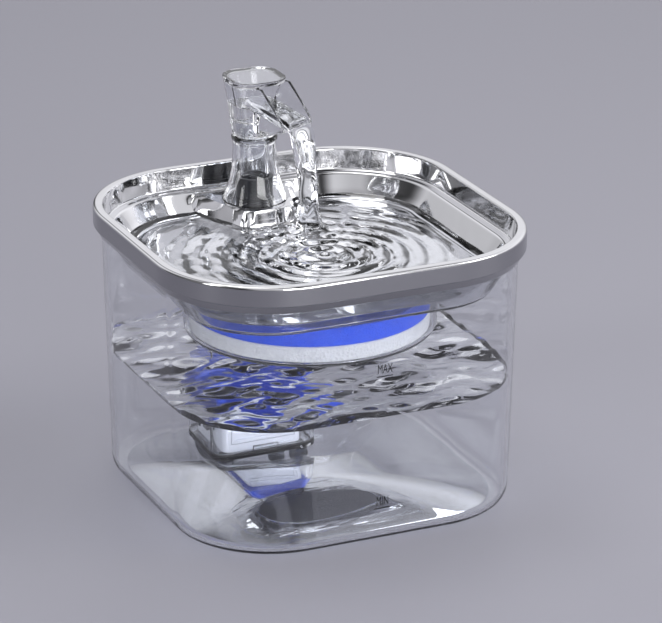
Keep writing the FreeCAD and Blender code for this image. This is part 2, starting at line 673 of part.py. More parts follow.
def pump_body():
    """Moulded block with a volute chamber at the back, a rotor well, a front recess and a side slot."""
    middle_y = (pump_front_y + pump_back_y) / 2
    body = block(pump_half_x, (pump_back_y - pump_front_y) / 2, PUMP_CORNER, base_top, pump_top, BOX_X, middle_y)
    body = body.cut(rod_along_y(CHAMBER_RADIUS, chamber_front, chamber_back, impeller_x, pump_middle_z))
    body = body.cut(rod_along_y(COVER_RADIUS, chamber_back, pump_back_y, impeller_x, pump_middle_z))
    well = MAGNET_RADIUS + MAGNET_GAP
    body = body.cut(rod_along_y(well, chamber_front - MAGNET_LENGTH - MAGNET_GAP, chamber_front,
                                impeller_x, pump_middle_z))
    seat = chamber_front - MAGNET_LENGTH - MAGNET_GAP - SHAFT_SEAT
    body = body.cut(rod_along_y(SHAFT_RADIUS, seat, chamber_front, impeller_x, pump_middle_z))
    body = body.cut(rod(OUTLET_BORE, pump_middle_z, pump_top, 0.0, (chamber_front + chamber_back) / 2))
    low = pump_middle_z - PANEL_HEIGHT / 2
    body = body.cut(slab(BOX_X - panel_half, BOX_X + panel_half, pump_front_y, pump_front_y + PANEL_RECESS,
                         low, low + PANEL_HEIGHT))
    left = BOX_X - pump_half_x
    half = REGULATOR_SLOT / 2
    return body.cut(slab(left, left + REGULATOR_DEPTH, middle_y - half, middle_y + half,
                         pump_middle_z - REGULATOR_HEIGHT / 2, pump_middle_z + REGULATOR_HEIGHT / 2))


def outlet_pipe():
    """Pipe from the volute up through the sponge and the box into the riser."""
    return tube(outlet_radius, OUTLET_BORE, pump_top, riser_base + OUTLET_OVERLAP, 0.0, faucet_y)


def pump_panel():
    low = pump_middle_z - PANEL_HEIGHT / 2 + FIT_GAP
    high = low + PANEL_HEIGHT - 2 * FIT_GAP
    half = panel_half - FIT_GAP
    plate = slab(BOX_X - half, BOX_X + half, pump_front_y, pump_front_y + PANEL_RECESS, low, high)
    pocket = slab(BOX_X - half + PANEL_FRAME, BOX_X + half - PANEL_FRAME, pump_front_y,
                  pump_front_y + PANEL_RECESS / 2, low + PANEL_FRAME, high - PANEL_FRAME)
    return plate.cut(pocket)


def impeller_cover():
    """Round plate with a ring of intake slots and a seat for the shaft."""
    plate = rod_along_y(COVER_RADIUS, chamber_back, pump_back_y, impeller_x, pump_middle_z)
    for number in range(COVER_SLOTS):
        slot = slab(COVER_SLOT_START, COVER_SLOT_END, -COVER_SLOT_WIDTH / 2, COVER_SLOT_WIDTH / 2,
                    0, COVER_PLATE)
        slot.rotate(point(0, 0, 0), UP, 360 * number / COVER_SLOTS)
        slot.rotate(point(0, 0, 0), point(1, 0, 0), -90)
        plate = plate.cut(slot.translated(point(impeller_x, chamber_back, pump_middle_z)))
    return plate


def impeller():
    """Hub and straight blades that turn on the fixed shaft."""
    front = chamber_front + IMPELLER_GAP
    back = chamber_back - IMPELLER_GAP
    hub = rod(HUB_RADIUS, 0, back - front)
    for number in range(IMPELLER_BLADES):
        blade = slab(HUB_RADIUS / 2, CHAMBER_RADIUS - IMPELLER_GAP, -BLADE / 2, BLADE / 2, 0, back - front)
        blade.rotate(point(0, 0, 0), UP, 360 * number / IMPELLER_BLADES)
        hub = hub.fuse(blade)
    hub = hub.cut(rod(SHAFT_RADIUS + SLIP_FIT, 0, back - front)).removeSplitter()
    hub.rotate(point(0, 0, 0), point(1, 0, 0), -90)
    return hub.translated(point(impeller_x, front, pump_middle_z))


def impeller_magnet():
    front = chamber_front + IMPELLER_GAP - MAGNET_LENGTH
    back = chamber_front + IMPELLER_GAP
    magnet = rod_along_y(MAGNET_RADIUS, front, back, impeller_x, pump_middle_z)
    return magnet.cut(rod_along_y(SHAFT_RADIUS + SLIP_FIT, front, back, impeller_x, pump_middle_z))


def impeller_shaft():
    seat = chamber_front - MAGNET_LENGTH - MAGNET_GAP - SHAFT_SEAT
    return rod_along_y(SHAFT_RADIUS, seat, chamber_back, impeller_x, pump_middle_z)


def flow_regulator():
    """Slider in the pump's side slot with a thumb plate outside."""
    left = BOX_X - pump_half_x
    middle_y = (pump_front_y + pump_back_y) / 2
    half = REGULATOR_LENGTH / 2
    low = pump_middle_z - REGULATOR_HEIGHT / 2 + FIT_GAP
    high = pump_middle_z + REGULATOR_HEIGHT / 2 - FIT_GAP
    stem = slab(left - FIT_GAP, left + REGULATOR_DEPTH - FIT_GAP, middle_y - half, middle_y + half, low, high)
    knob = REGULATOR_KNOB / 2
    plate = slab(left - REGULATOR_PROUD, left - FIT_GAP, middle_y - knob, middle_y + knob,
                 pump_middle_z - knob, pump_middle_z + knob)
    return joined([stem, plate])


def cord_gland():
    left = BOX_X - pump_half_x
    y = pump_back_y - PUMP_CORNER - GLAND_RADIUS
    z = pump_top - PUMP_CORNER - GLAND_RADIUS
    gland = Part.makeCylinder(GLAND_RADIUS, GLAND_LENGTH, point(left, y, z), point(-1, 0, 0))
    return gland.cut(Part.makeCylinder(GLAND_RADIUS / 2, GLAND_LENGTH, point(left, y, z), point(-1, 0, 0)))


def main():
    os.makedirs("parts", exist_ok=True)
    cotton_top = filter_floor + COTTON_HEIGHT
    pieces = {
        "tank": tank(),
        "tank_feet": tank_feet(),
        "cord_grommet": cord_grommet(),
        "pump_base": pump_base(),
        "base_seal": base_seal(),
        "suction_cups": suction_cups(),
        "pump_body": pump_body(),
        "pump_panel": pump_panel(),
        "outlet_pipe": outlet_pipe(),
        "impeller_cover": impeller_cover(),
        "impeller_shaft": impeller_shaft(),
        "cord_gland": cord_gland(),
        "impeller": impeller(),
        "impeller_magnet": impeller_magnet(),
        "flow_regulator": flow_regulator(),
        "pump_cover": pump_cover(),
        "pump_sponge": pump_sponge(),
        "filter_box": filter_box(),
        "riser_tube": riser_tube(),
        "filter_cotton": filter_pad(filter_floor, COTTON_HEIGHT),
        "filter_foam": filter_pad(cotton_top, FOAM_HEIGHT),
        "steel_tray": steel_tray(),
        "tray_grommet": tray_grommet(),
        "faucet_column": faucet_column(),
        "faucet_stem": faucet_stem(),
        "stem_sleeve": stem_sleeve(),
        "faucet_collar": faucet_collar(),
        "faucet_head": faucet_head(),
    }
    for name, shape in pieces.items():
        save(name, shape)


main()
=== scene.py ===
import json
import math
import bmesh
import bpy
import numpy as np
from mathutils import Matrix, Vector

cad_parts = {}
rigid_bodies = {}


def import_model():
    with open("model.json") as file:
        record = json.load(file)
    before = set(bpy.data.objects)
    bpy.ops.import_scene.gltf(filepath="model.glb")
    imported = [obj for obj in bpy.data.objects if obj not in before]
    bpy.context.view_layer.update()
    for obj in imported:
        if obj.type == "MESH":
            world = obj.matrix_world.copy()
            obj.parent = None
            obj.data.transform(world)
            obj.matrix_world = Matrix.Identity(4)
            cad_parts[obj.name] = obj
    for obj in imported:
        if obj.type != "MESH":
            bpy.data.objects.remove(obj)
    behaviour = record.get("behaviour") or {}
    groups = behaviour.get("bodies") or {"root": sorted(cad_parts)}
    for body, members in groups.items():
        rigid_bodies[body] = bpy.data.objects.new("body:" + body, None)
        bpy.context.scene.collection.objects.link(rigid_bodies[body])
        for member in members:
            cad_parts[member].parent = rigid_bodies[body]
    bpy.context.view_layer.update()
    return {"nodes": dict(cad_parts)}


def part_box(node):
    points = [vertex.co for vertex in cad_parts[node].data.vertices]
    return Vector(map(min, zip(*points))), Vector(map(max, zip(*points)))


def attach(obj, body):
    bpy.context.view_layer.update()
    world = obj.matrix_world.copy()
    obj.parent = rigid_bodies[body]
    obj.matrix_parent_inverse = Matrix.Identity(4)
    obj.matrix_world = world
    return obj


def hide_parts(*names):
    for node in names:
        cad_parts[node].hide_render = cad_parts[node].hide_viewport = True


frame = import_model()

MM = 0.001
scene = bpy.context.scene
scene.view_settings.view_transform = "Standard"


# Camera
# A long lens, a little to the left of the front and about 21 degrees above level.
# It aims at the fountain's axis and is shifted to leave the same margins as the photograph.
camera_bearing = math.radians(-24.1)
camera_height = math.radians(21.1)
camera_distance = 1.8
aim = np.array([0.0, 0.0, 0.080])
back = np.array([math.sin(camera_bearing) * math.cos(camera_height),
                 -math.cos(camera_bearing) * math.cos(camera_height), math.sin(camera_height)])
camera_data = bpy.data.cameras.new("camera")
camera_data.lens = 197
camera_data.sensor_width = 36
camera_data.shift_x = 0.035
camera_data.shift_y = 0.0316
camera_data.clip_end = 50
camera = bpy.data.objects.new("camera", camera_data)
scene.collection.objects.link(camera)
camera.location = aim + back * camera_distance
camera.rotation_mode = "QUATERNION"
camera.rotation_quaternion = Vector(-back).to_track_quat("-Z", "Y")
scene.camera = camera


# Floor and light
# A plain floor of matt lilac paper under a soft sky and four large soft boxes.
# The sky darkens in one band at the left and one in the middle, which the polished steel shows as streaks.
def colour(code):
    """Linear red, green, blue and 1 from an sRGB hex code."""
    parts = np.array([int(code[i:i + 2], 16) for i in (1, 3, 5)]) / 255
    linear = np.where(parts <= 0.04045, parts / 12.92, ((parts + 0.055) / 1.055) ** 2.4)
    return (*linear.tolist(), 1.0)


def add(tree, kind, inputs=None, **settings):
    """A node with its settings; inputs maps a socket's name or number to a value or to another socket."""
    node = tree.nodes.new(kind)
    for key, value in settings.items():
        setattr(node, key, value)
    for key, value in (inputs or {}).items():
        if isinstance(value, bpy.types.NodeSocket):
            tree.links.new(value, node.inputs[key])
        else:
            node.inputs[key].default_value = value
    return node


def material(name, code, **values):
    """A material whose Principled shader has this colour and these plain values, with its tree and shader."""
    made = bpy.data.materials.new(name)
    made.use_nodes = True
    shader = made.node_tree.nodes["Principled BSDF"]
    shader.inputs["Base Color"].default_value = colour(code)
    for key, value in values.items():
        shader.inputs[key.replace("_", " ")].default_value = value
    return made, made.node_tree, shader


# Matt paper gives one soft tone without gloss.
floor_half = 6.0
floor_mesh = bpy.data.meshes.new("floor")
floor_mesh.from_pydata([(-floor_half, -floor_half, 0), (floor_half, -floor_half, 0),
                        (floor_half, floor_half, 0), (-floor_half, floor_half, 0)], [], [(0, 1, 2, 3)])
floor = bpy.data.objects.new("floor", floor_mesh)
scene.collection.objects.link(floor)
floor_mesh.materials.append(material("matt lilac paper", "#A09FA9", Roughness=0.6)[0])

world = bpy.data.worlds.new("studio")
scene.world = world
world.use_nodes = True
sky_tree = world.node_tree
sky = sky_tree.nodes["Background"]
ways = add(sky_tree, "ShaderNodeTexCoord")
parts = add(sky_tree, "ShaderNodeSeparateXYZ", {0: ways.outputs["Generated"]})
sky_strength = 0.8
sky_blueness = 1.02
sky_greys = {"Z": ((-1, 0.3), (0.02, 0.42), (0.12, 0.7), (0.42, 1.2), (0.68, 0.95), (1, 0.3)),
             "X": ((-1, 0.4), (-0.74, 0.06), (-0.5, 0.9), (-0.12, 1.15), (0.12, 0.08), (0.3, 1.1), (1, 1.3))}
bands = []
for axis, stops in sky_greys.items():
    spread = add(sky_tree, "ShaderNodeMapRange", {"Value": parts.outputs[axis], "From Min": -1.0,
                                                  "From Max": 1.0})
    ramp = add(sky_tree, "ShaderNodeValToRGB", {0: spread.outputs[0]})
    ramp.color_ramp.interpolation = "EASE"
    points = ramp.color_ramp.elements
    while len(points) < len(stops):
        points.new(0.5)
    for element, (place, grey) in zip(points, stops):
        element.position = (place + 1) / 2
        element.color = (grey, grey, grey * sky_blueness, 1)
    bands.append(ramp.outputs[0])
both = add(sky_tree, "ShaderNodeMix", {0: 1.0, 6: bands[0], 7: bands[1]}, data_type="RGBA",
           blend_type="MULTIPLY")
sky_tree.links.new(both.outputs[2], sky.inputs["Color"])
sky.inputs["Strength"].default_value = sky_strength

soft_boxes = {"right_box": ((1.3, -0.9, 1.1), 0.10, 0.9, 1.2, 13),
              "top_box": ((-0.2, 0.4, 1.9), 0.10, 1.2, 0.8, 8),
              "left_box": ((-1.6, -0.3, 0.9), 0.10, 0.35, 1.2, 6),
              "front_box": ((0.2, -2.2, 0.5), 0.08, 1.4, 0.7, 18)}
for name, (place, aim_height, width, tall, watts) in soft_boxes.items():
    light = bpy.data.lights.new(name, "AREA")
    light.shape = "RECTANGLE"
    light.size = width
    light.size_y = tall
    light.energy = watts
    lamp = bpy.data.objects.new(name, light)
    scene.collection.objects.link(lamp)
    lamp.location = place
    lamp.rotation_mode = "QUATERNION"
    lamp.rotation_quaternion = (Vector(place) - Vector((0, 0, aim_height))).to_track_quat("Z", "Y")


# Tank
# Clear acrylic tub moulded in one piece, rounded below, with its walls drafted a little outwards.
# A notch in the rear rim holds the cord bush.
def rounded_path(corners, radii, steps=7, closed=False):
    """Points along a broken line whose corners are arcs: each is the quadratic curve between the two points
    that lie radius times the tangent of half the turn from the corner. A point just outside each arc keeps
    the straight stretches flat under smooth shading."""
    longest_reach = 0.45
    support = 0.4
    support_share = 0.2
    corners = np.array(corners, float)
    count = len(corners)
    path = [] if closed else [corners[:1]]
    t = np.linspace(0, 1, steps)[:, None]
    for i in range(0 if closed else 1, count if closed else count - 1):
        here = corners[i]
        before = corners[i - 1] - here
        after = corners[(i + 1) % count] - here
        before_length = np.linalg.norm(before)
        after_length = np.linalg.norm(after)
        turn = math.pi - math.acos(np.clip(before @ after / before_length / after_length, -1, 1))
        reach = min(radii[i] * math.tan(turn / 2), before_length * longest_reach,
                    after_length * longest_reach)
        start = here + before / before_length * reach
        end = here + after / after_length * reach
        before_point = start + before / before_length * min(support, (before_length - reach) * support_share)
        after_point = end + after / after_length * min(support, (after_length - reach) * support_share)
        path += [before_point[None], (1 - t) ** 2 * start + 2 * t * (1 - t) * here + t ** 2 * end,
                 after_point[None]]
    if not closed:
        path.append(corners[-1:])
    return np.vstack(path)


def square_ring(half_x, half_y, corner, arc_steps=28, side_steps=6):
    """x and y round a rounded rectangle: quarter arcs about the four corner centres, joined by straight
    sides. The sizes may be columns, which gives one ring a row."""
    beside_arc = 0.02
    half_x, half_y, corner = (np.asarray(size, float).reshape(-1, 1) for size in (half_x, half_y, corner))
    between = np.linspace(0, 1, side_steps + 2)[1:-1]
    share = np.concatenate([[beside_arc], between, [1 - beside_arc]])[None, :]
    around_x, around_y = [], []
    sides = ((1, 1), (-1, 1), (-1, -1), (1, -1))
    for k, (side_x, side_y) in enumerate(sides):
        angle = np.radians(np.linspace(90 * k, 90 * k + 90, arc_steps))[None, :]
        around_x.append(side_x * (half_x - corner) + corner * np.cos(angle))
        around_y.append(side_y * (half_y - corner) + corner * np.sin(angle))
        next_x, next_y = sides[(k + 1) % 4]
        shift_x = next_x * (half_x - corner) - side_x * (half_x - corner)
        shift_y = next_y * (half_y - corner) - side_y * (half_y - corner)
        around_x.append(around_x[-1][:, -1:] + shift_x * share)
        around_y.append(around_y[-1][:, -1:] + shift_y * share)
    return np.hstack(around_x), np.hstack(around_y)


def grid_mesh(name, x, y, z, ring_closed=False, start_cap=False, end_cap=False):
    """A surface from millimetre grids whose rows run round the piece. The rows may close into a torus, and
    the first or last row may be closed by a fan to its middle. Faces turn outwards on a closed piece."""
    rows, columns = x.shape
    points = np.stack([x, y, z], -1).reshape(-1, 3) * MM
    number = np.arange(rows * columns).reshape(rows, columns)
    upper = np.vstack([number, number[:1]]) if ring_closed else number
    right = np.roll(upper, -1, 1)
    faces = np.stack([upper[:-1], right[:-1], right[1:], upper[1:]], -1).reshape(-1, 4).tolist()
    for row, wanted in ((number[0], start_cap), (number[-1], end_cap)):
        if wanted:
            faces += np.stack([row, np.roll(row, -1), np.full(columns, len(points))], -1).tolist()
            points = np.vstack([points, points[row].mean(0)])
    mesh = bpy.data.meshes.new(name)
    mesh.from_pydata(points.tolist(), [], faces)
    made = bpy.data.objects.new(name, mesh)
    scene.collection.objects.link(made)
    work = bmesh.new()
    work.from_mesh(mesh)
    bmesh.ops.remove_doubles(work, verts=work.verts, dist=1e-7)
    bmesh.ops.recalc_face_normals(work, faces=work.faces)
    work.to_mesh(mesh)
    work.free()
    mesh.shade_smooth()
    return made


def placed(piece, paint, body, slot_name, *nodes):
    """Gives a piece its finish and the body that it rides on, and hides the nodes it stands for. slot_name is
    not used.
    """
    if paint is not None:
        piece.data.materials.clear()
        piece.data.materials.append(paint)
    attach(piece, body)
    if nodes:
        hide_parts(*nodes)
    return piece


def holed(piece, name, shapes):
    """Cuts closed shapes out of a piece and keeps a plain mesh. Each shape is a ring of x and y and the two
    heights that it runs between."""
    cutters = bpy.data.collections.new(name)
    scene.collection.children.link(cutters)
    for shape_x, shape_y, bottom, top in shapes:
        levels = np.array([[bottom], [top]]) + 0 * shape_x
        cutter = grid_mesh(name, shape_x + 0 * levels, shape_y + 0 * levels, levels, start_cap=True,
                           end_cap=True)
        cutters.objects.link(cutter)
    cut = piece.modifiers.new(name, "BOOLEAN")
    cut.operand_type = "COLLECTION"
    cut.collection = cutters
    cut.solver = "EXACT"
    ready = piece.evaluated_get(bpy.context.evaluated_depsgraph_get())
    mesh = bpy.data.meshes.new_from_object(ready)
    piece.modifiers.clear()
    piece.data = mesh
    mesh.set_sharp_from_angle(angle=math.radians(40))
    for cutter in list(cutters.objects):
        bpy.data.objects.remove(cutter)
    bpy.data.collections.remove(cutters)


def clear(name, tint, index, roughness):
    """Glass that lets lamps through: a Principled shader, with a Transparent one for shadow rays."""
    made, tree, shader = material(name, tint, Roughness=roughness, IOR=index, Transmission_Weight=1.0)
    path = add(tree, "ShaderNodeLightPath")
    window = add(tree, "ShaderNodeBsdfTransparent", {"Color": colour(tint)})
    blend = add(tree, "ShaderNodeMixShader", {0: path.outputs["Is Shadow Ray"], 1: shader.outputs[0],
                                             2: window.outputs[0]})
    tree.links.new(blend.outputs[0], tree.nodes["Material Output"].inputs["Surface"])
    return made


# Polished acrylic is clear, with bright edges and a faint cold tint.
acrylic = clear("clear acrylic", "#F8F9FB", 1.49, 0.0)
tank_low, tank_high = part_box("tank")
tank_bottom = tank_low.z / MM
tank_rim = tank_high.z / MM
tank_top_half = tank_high.x / MM
tank_narrowing = 3.2
tank_draft = tank_narrowing / (tank_rim - tank_bottom)
tank_axis = 37.4
tank_wall = 2.2
tank_floor = 2.4
floor_reach = 70
least_corner = 0.55


def tank_rings(path, **steps):
    """Rings of the drafted tank for rows of inset and height; near the middle the corner keeps a share."""
    half = tank_top_half - tank_draft * (tank_rim - path[:, 1]) - path[:, 0]
    return square_ring(half, half, np.maximum(half - tank_axis, half * least_corner), **steps)


tub_path = rounded_path([(floor_reach, tank_bottom), (0, tank_bottom), (0, tank_rim), (tank_wall, tank_rim),
                         (tank_wall, tank_bottom + tank_floor), (floor_reach, tank_bottom + tank_floor)],
                        [0, 8.0, 0.5, 0.5, 5.8, 0], 12)
x, y = tank_rings(tub_path, arc_steps=40)
tub = grid_mesh("clear_tub", x, y, np.repeat(tub_path[:, 1:], x.shape[1], 1), start_cap=True, end_cap=True)
notch_x = -26.0
notch_half = 4.0
notch_depth = 6.0
notch_inside = 80.0
notch_outside = 95.0
above_rim = 2
notch = (notch_x + notch_half * np.array([[1, -1, -1, 1]]),
         np.array([[notch_outside, notch_outside, notch_inside, notch_inside]]),
         tank_rim - notch_depth, tank_rim + above_rim)
holed(tub, "cord_notch", [notch])
placed(tub, acrylic, "tank", "clear_plastic", "tank")


# Level marks
# Two small generic marks, MAX and MIN, with a rule under each.
# They are printed in black ink on the tank's front wall.
# Dry ink is black with a dull sheen.
black_ink = material("black ink", "#0C0C0E", Roughness=0.4)[0]
letter_height = 6.6
letter_narrowing = 0.56
ink_thickness = 0.04
ink_gap = 0.06
mark_heights = {"MAX": 91.0, "MIN": 22.0}
rule_half = 4.2
rule_low = 1.9
rule_high = 1.4
rule_back = 0.02
rule_front = 0.1
for word, height in mark_heights.items():
    curve = bpy.data.curves.new(word, "FONT")
    curve.body = word
    curve.align_x = "CENTER"
    curve.size = letter_height
    curve.extrude = ink_thickness
    letters = bpy.data.objects.new(word, curve)
    scene.collection.objects.link(letters)
    bpy.context.view_layer.update()
    mesh = bpy.data.meshes.new_from_object(letters)
    bpy.data.objects.remove(letters)
    spots = np.empty(len(mesh.vertices) * 3)
    mesh.vertices.foreach_get("co", spots)
    spots = spots.reshape(-1, 3)
    flat_x = spots[:, 0] * letter_narrowing
    flat_z = height + spots[:, 1]
    surface = tank_top_half - tank_draft * (tank_rim - flat_z) + ink_gap
    mesh.vertices.foreach_set("co", (np.stack([flat_x, -surface - spots[:, 2], flat_z], -1) * MM).ravel())
    mark = bpy.data.objects.new("mark_" + word, mesh)
    scene.collection.objects.link(mark)
    placed(mark, black_ink, "tank", None)
    rule_z = np.array([[height - rule_low] * 4, [height - rule_high] * 4])
    rule_out = np.array([[rule_back, rule_back, rule_front, rule_front]] * 2)
    rule_y = -(tank_top_half - tank_draft * (tank_rim - rule_z) + rule_out)
    rule_x = np.array([[-rule_half, rule_half, rule_half, -rule_half]] * 2)
    rule = grid_mesh("rule_" + word, rule_x, rule_y, rule_z, start_cap=True, end_cap=True)
    rule.data.shade_flat()
    placed(rule, black_ink, "tank", None)


# Feet and cord bush
# Four clear silicone feet under the tank, and a black rubber bush pressed into the notch of its rim.
# Like the pump's pieces, they are already whole in the solids, so a merged copy gets soft edges.
def moulded(node, paint, body, slot_name, bevel):
    """A merged copy of a solid's mesh, with edges sharper than 34 degrees bevelled and shaded softly."""
    crisp = math.radians(34)
    mesh = frame["nodes"][node].data.copy()
    work = bmesh.new()
    work.from_mesh(mesh)
    bmesh.ops.remove_doubles(work, verts=work.verts, dist=2e-6)
    bmesh.ops.dissolve_limit(work, angle_limit=math.radians(0.6), verts=work.verts, edges=work.edges)
    work.to_mesh(mesh)
    work.free()
    mesh.shade_smooth()
    mesh.set_sharp_from_angle(angle=crisp)
    made = bpy.data.objects.new("moulded_" + node, mesh)
    scene.collection.objects.link(made)
    edge = made.modifiers.new("edges", "BEVEL")
    edge.width = bevel * MM
    edge.segments = 2
    edge.limit_method = "ANGLE"
    edge.angle_limit = crisp
    edge.harden_normals = True
    made.modifiers.new("normals", "WEIGHTED_NORMAL").keep_sharp = False
    return placed(made, paint, body, slot_name, node)


# Moulded silicone is slightly cloudy and blurs what is behind it; rubber is black with a broad dull sheen.
silicone = clear("clear silicone", "#E6E7EB", 1.41, 0.12)
black_rubber = material("black rubber", "#141417", Roughness=0.45, IOR=1.5)[0]
moulded("tank_feet", silicone, "tank", "clear_silicone", 0.2)
moulded("cord_grommet", black_rubber, "tank", "black_rubber", 0.15)


# Pump base
# Clear acrylic plate under the pump, held to the tank's floor by four silicone suction cups.
# A black rubber seal runs round it, where the clear box snaps on.
moulded("pump_base", acrylic, "pump_unit", "clear_plastic", 0.3)
moulded("base_seal", black_rubber, "pump_unit", "black_rubber", 0.15)
moulded("suction_cups", silicone, "pump_unit", "clear_silicone", 0.15)


# Pump
# White ABS body with its panel, outlet pipe and rubber cord gland, and a dark silicone slider for the flow.
# The impeller turns with its ferrite magnet on a ground steel shaft. Hidden pieces keep their solid's mesh.
# Moulded ABS has a soft gloss, and so has dark silicone. Sintered ferrite is dull, and ground steel is bright
# with a slight blur.
white_abs = material("white ABS", "#E4E6EE", Roughness=0.28, IOR=1.53)[0]
dark_silicone = material("dark silicone", "#1D1E22", Roughness=0.3, IOR=1.41)[0]
ferrite = material("ferrite", "#2B2A2C", Roughness=0.55)[0]
ground_steel = material("ground steel", "#B9B9BC", Metallic=1.0, Roughness=0.25)[0]
moulded("pump_body", white_abs, "pump_unit", "white_plastic", 0.4)
moulded("pump_panel", white_abs, "pump_unit", "white_plastic", 0.15)
moulded("outlet_pipe", white_abs, "pump_unit", "white_plastic", 0.2)
moulded("cord_gland", black_rubber, "pump_unit", "black_rubber", 0.2)
moulded("flow_regulator", dark_silicone, "regulator", "grey_silicone", 0.1)
plain = {"impeller_cover": white_abs, "impeller_shaft": ground_steel, "impeller": white_abs,
         "impeller_magnet": ferrite}
for node, paint in plain.items():
    slots = frame["nodes"][node].data.materials
    for i in range(len(slots)):
        slots[i] = paint


# Pump cover and sponge
# Clear acrylic box with cross-shaped vents over the pump, and a block of blue foam that strains the water.
# Foam and cotton are matt, with pores as bumps and a slightly mottled colour.
def porous(name, code, pore_mm, depth_mm, rough, mottle):
    """A matt soft surface with pores of this size as bumps and a mottled colour."""
    made, tree, shader = material(name, code, Roughness=rough, IOR=1.45)
    place = add(tree, "ShaderNodeTexCoord").outputs["Object"]
    pores = add(tree, "ShaderNodeTexVoronoi", {"Vector": place, "Scale": 1000.0 / pore_mm})
    cloud = add(tree, "ShaderNodeTexNoise", {"Vector": place, "Scale": 300.0 / pore_mm, "Detail": 4.0})
    shade = add(tree, "ShaderNodeMix", {0: cloud.outputs["Fac"], 6: colour(code), 7: colour(mottle)},
                data_type="RGBA")
    dent = add(tree, "ShaderNodeBump", {"Height": pores.outputs["Distance"], "Strength": 0.8,
                                        "Distance": depth_mm * MM})
    tree.links.new(shade.outputs[2], shader.inputs["Base Color"])
    tree.links.new(dent.outputs[0], shader.inputs["Normal"])
    return made


# Open-pored foam is vivid, matt and finely pitted.
blue_foam = porous("blue polyurethane foam", "#0A5EFF", 0.9, 0.5, 0.85, "#0648E6")
moulded("pump_cover", acrylic, "pump_cover", "clear_plastic", 0.35)
moulded("pump_sponge", blue_foam, "pump_cover", "blue_foam", 0.8)


# Filter basin
# Clear acrylic moulding that hangs in the tank by its flange: sloped wall, shelf and round filter bowl.
# One closed profile is carried round it, square at the flange and round at the bowl.
def same_angles(radius, x, y):
    """A circle whose points stand at the same angles as the points x, y of another ring."""
    angle = np.arctan2(y, x)
    return radius * np.cos(angle), radius * np.sin(angle)


basin_low, basin_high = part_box("filter_box")
basin_base = basin_low.z / MM
flange_top = basin_high.z / MM
flange_half = basin_high.x / MM
flange_bottom = tank_rim + 0.05
shelf_top = 114.6
bowl_radius = 63.5
basin_skin = 1.6
bowl_inside = bowl_radius - basin_skin
shelf_bottom = shelf_top - basin_skin
bowl_middle = 2
shelf_outer = 78.0
shelf_inner = 76.6
slope_outer = 87.4
slope_inner = 86.6
basin_corner = 0.5
round_margin = 1.5
basin_rows = rounded_path([(bowl_middle, basin_base), (bowl_radius, basin_base), (bowl_radius, shelf_bottom),
                           (shelf_outer, shelf_bottom), (slope_outer, flange_bottom),
                           (flange_half, flange_bottom), (flange_half, flange_top),
                           (slope_inner, flange_top), (shelf_inner, shelf_top),
                           (bowl_inside, shelf_top), (bowl_inside, basin_base + basin_skin),
                           (bowl_middle, basin_base + basin_skin)],
                          [0, 3.0, 0.8, 2.0, 1.0, 0.4, 0.4, 0.8, 1.5, 0.6, 1.4, 0], 6)
half = basin_rows[:, 0]
x, y = square_ring(half, half, np.maximum(half - tank_axis, half * basin_corner), arc_steps=40)
round_x, round_y = same_angles(half[:, None], x[-1:], y[-1:])
is_round = (half <= bowl_radius + round_margin)[:, None]
x = np.where(is_round, round_x, x)
y = np.where(is_round, round_y, y)
basin = grid_mesh("clear_basin", x, y, np.repeat(basin_rows[:, 1:], x.shape[1], 1), start_cap=True,
                  end_cap=True)
placed(basin, acrylic, "filter_box", "clear_plastic", "filter_box")


# Riser tube
# Clear acrylic tube that leads the water from the pump's outlet up to the faucet.
# It stands on the faucet's axis and lifts out with the basin.
faucet_y = 66.0


def tube_of(name, node, bore, paint, body, slot_name, edge):
    """Surface of revolution about the faucet's axis of a rectangle from the bore to the node's radius, with
    its four corners rounded."""
    low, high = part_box(node)
    radius = (high.x - low.x) / 2 / MM
    bottom, top = low.z / MM, high.z / MM
    columns = 96
    outline = [(bore, bottom), (radius, bottom), (radius, top), (bore, top)]
    rows = rounded_path(outline, [edge] * 4, closed=True)
    angle = np.linspace(0, 2 * math.pi, columns, endpoint=False)[None, :]
    piece = grid_mesh(name, rows[:, :1] * np.cos(angle), faucet_y + rows[:, :1] * np.sin(angle),
                      np.repeat(rows[:, 1:], columns, 1), ring_closed=True)
    return placed(piece, paint, body, slot_name, node)


tube_of("clear_riser", "riser_tube", 4.2, acrylic, "filter_box", "clear_plastic", 0.3)


# Filter pads
# A round pad of blue foam on one of pressed white cotton, both cut from sheet with a bite for the riser.
# They lie loose in the basin's bowl.
def round_pad(name, node, paint, slot_name):
    """Disc with rounded rims; where the bite's circle cuts it, the rim follows that circle instead."""
    low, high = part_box(node)
    bottom, top = low.z / MM, high.z / MM
    radius = high.x / MM
    bite = 10.7
    middle = 2
    soft = 1.2
    cap_rings = 10
    columns = 180
    outline = [(middle, bottom), (radius, bottom), (radius, top), (middle, top)]
    path = rounded_path(outline, [0, soft, soft, 0], 6)
    rim = np.linspace(middle, radius, cap_rings + 2)
    path = np.vstack([np.stack([rim[:-2], np.full(cap_rings, bottom)], -1), path[1:-1],
                      np.stack([rim[-3::-1], np.full(cap_rings, top)], -1)])
    angle = np.linspace(0, 2 * math.pi, columns, endpoint=False)[None, :]
    inside = bite ** 2 - (faucet_y * np.cos(angle)) ** 2
    cut = faucet_y * np.sin(angle) - np.sqrt(np.maximum(inside, 0))
    limit = np.where((inside > 0) & (np.sin(angle) > 0), np.minimum(cut, radius), radius)
    reach = path[:, :1] * limit / radius
    pad = grid_mesh(name, reach * np.cos(angle), reach * np.sin(angle),
                    np.repeat(path[:, 1:], columns, 1), start_cap=True, end_cap=True)
    return placed(pad, paint, "filter_pads", slot_name, node)


